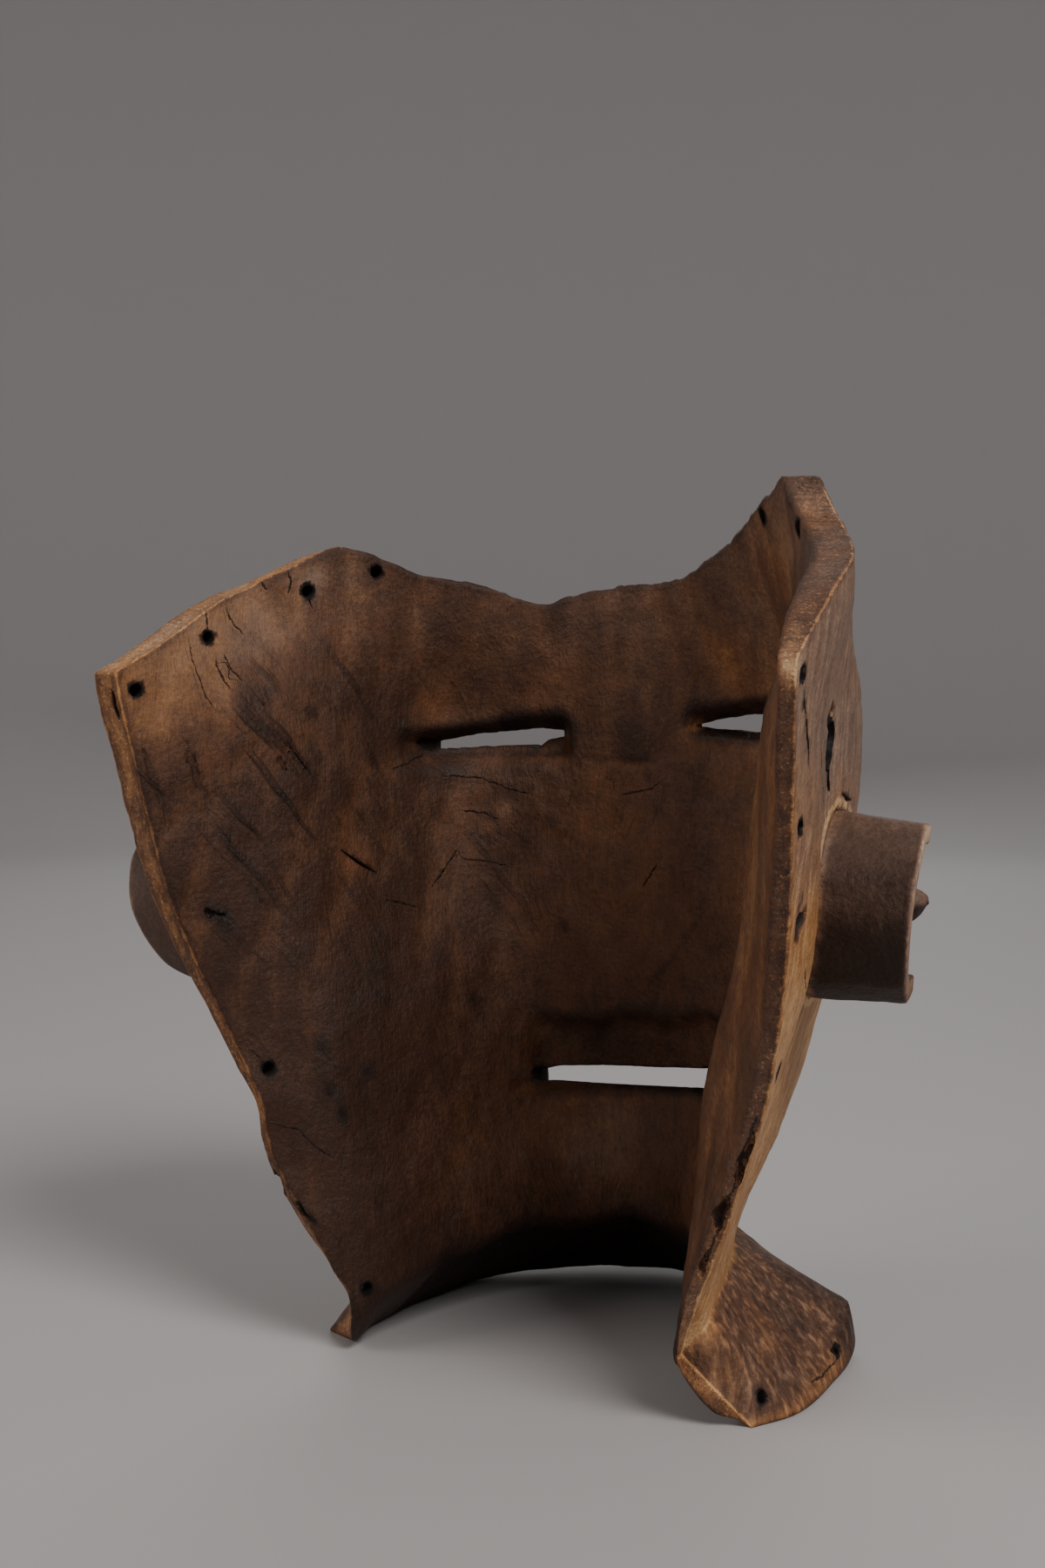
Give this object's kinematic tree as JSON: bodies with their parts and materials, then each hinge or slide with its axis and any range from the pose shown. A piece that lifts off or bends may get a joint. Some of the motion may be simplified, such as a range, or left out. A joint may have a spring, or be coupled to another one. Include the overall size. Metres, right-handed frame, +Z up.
{
  "type": "carved wooden face mask",
  "caption": "Hollow face mask carved from one block of wood, with a flared beard plate, tubular ears, eye and mouth slits and a worn, horned top edge; open at the back.",
  "frame": {"origin": "middle of the bounding box at its bottom, where the beard plate's lower edge stands", "axes": "+Z up, the face looks towards -Y, the open back towards +Y, the mask's right side is -X"},
  "size_m": [0.2594, 0.1902, 0.279],
  "materials": {
    "carved_wood": "dark, worn patina with bare lighter wood on the edges"
  },
  "bodies": {
    "root": {"mask": "carved_wood"}
  },
  "joints": []
}
